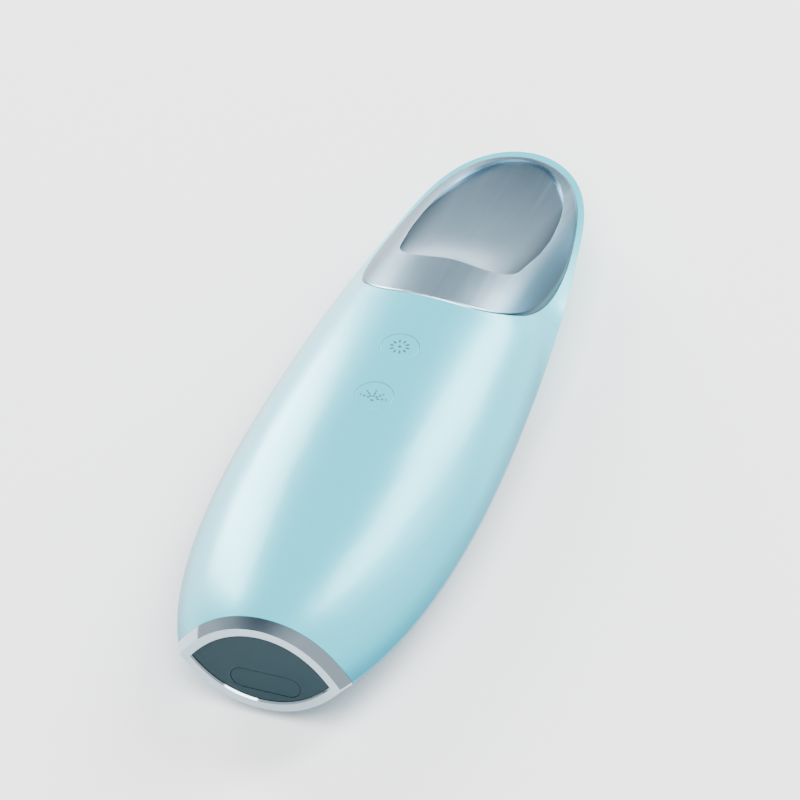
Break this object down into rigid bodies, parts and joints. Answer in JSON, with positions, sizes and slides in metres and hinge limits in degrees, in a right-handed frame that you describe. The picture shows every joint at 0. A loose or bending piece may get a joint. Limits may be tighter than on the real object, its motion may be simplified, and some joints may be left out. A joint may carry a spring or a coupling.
{
  "type": "ultrasonic skin scrubber",
  "caption": "Hand-held ultrasonic skin scrubber: a lens-shaped aqua case with a dished metal head, two flush keys and a chrome-ringed charging end.",
  "frame": {"origin": "under the middle of the device, on the flat of its back", "axes": "+Y from the base end to the tip of the metal head, +Z out of the front with the keys, +X to the right seen from the front"},
  "size_m": [0.0488, 0.1497, 0.0257],
  "materials": {
    "case_plastic": "pearl aqua, satin",
    "head_steel": "blue-grey, satin",
    "ring_chrome": "polished",
    "cap_gloss": "polished dark teal",
    "port_rubber": "matt",
    "seal_silicone": "matt translucent grey",
    "switch_plastic": "moulded",
    "connector_plastic": "moulded",
    "frame_plastic": "moulded white",
    "screw_steel": "zinc plated",
    "battery_foil": "laminated pouch",
    "pad_foam": "foam tape",
    "board_laminate": "solder mask",
    "socket_steel": "drawn shell",
    "chip_resin": "moulded epoxy",
    "module_can": "tinned can",
    "ferrite": "sintered",
    "capacitor_ceramic": "ceramic chip",
    "led_resin": "clear resin",
    "motor_steel": "drawn can",
    "weight_alloy": "sintered tungsten alloy",
    "stack_steel": "turned",
    "electrode_brass": "rolled",
    "piezo_ceramic": "fired ceramic",
    "horn_aluminium": "turned",
    "lead_insulation": "insulated wire",
    "flex_film": "polyimide film"
  },
  "bodies": {
    "housing": {"front_shell": "case_plastic", "rear_shell": "case_plastic", "scrubber_head": "head_steel", "base_ring": "ring_chrome", "base_cap": "cap_gloss", "parting_gasket": "seal_silicone", "head_gasket": "seal_silicone", "base_seal": "seal_silicone", "isolation_collar": "seal_silicone", "motor_sleeve": "seal_silicone", "power_switch": "switch_plastic", "mode_switch": "switch_plastic", "battery_connector": "connector_plastic", "inner_frame": "frame_plastic", "frame_screws": "screw_steel", "port_screws": "screw_steel", "battery_cell": "battery_foil", "battery_pad": "pad_foam", "main_board": "board_laminate", "port_board": "board_laminate", "usb_socket": "socket_steel", "controller_chip": "chip_resin", "wireless_module": "module_can", "drive_transformer": "ferrite", "drive_inductor": "ferrite", "board_capacitors": "capacitor_ceramic", "status_leds": "led_resin", "vibration_motor": "motor_steel", "tail_mass": "stack_steel", "piezo_electrodes": "electrode_brass", "piezo_rings": "piezo_ceramic", "transducer_horn": "horn_aluminium", "coupling_block": "horn_aluminium", "stack_bolt": "screw_steel", "battery_lead": "lead_insulation", "transducer_lead": "lead_insulation", "port_flex": "flex_film", "head_contact": "electrode_brass"},
    "power_button": {"power_key": "case_plastic", "power_key_seal": "seal_silicone", "power_switch_plunger": "switch_plastic"},
    "mode_button": {"mode_key": "case_plastic", "mode_key_seal": "seal_silicone", "mode_switch_plunger": "switch_plastic"},
    "motor_rotor": {"motor_shaft": "motor_steel", "motor_weight": "weight_alloy"},
    "port_stopper": {"port_plug": "port_rubber"}
  },
  "joints": [
    {"name": "power_key_press", "type": "slide", "parent": "housing", "child": "power_button", "axis": [0, 0, -1], "range_m": [0, 0.0003], "stiffness_N_per_m": 4000},
    {"name": "mode_key_press", "type": "slide", "parent": "housing", "child": "mode_button", "axis": [0, 0, -1], "range_m": [0, 0.0003], "stiffness_N_per_m": 4000},
    {"name": "motor_spin", "type": "hinge", "parent": "housing", "child": "motor_rotor", "pos_m": [0, -0.0055, 0.0094], "axis": [0, 1, 0], "continuous": true},
    {"name": "stopper_pull", "type": "slide", "parent": "housing", "child": "port_stopper", "axis": [0, -1, 0], "range_m": [0, 0.006]}
  ]
}
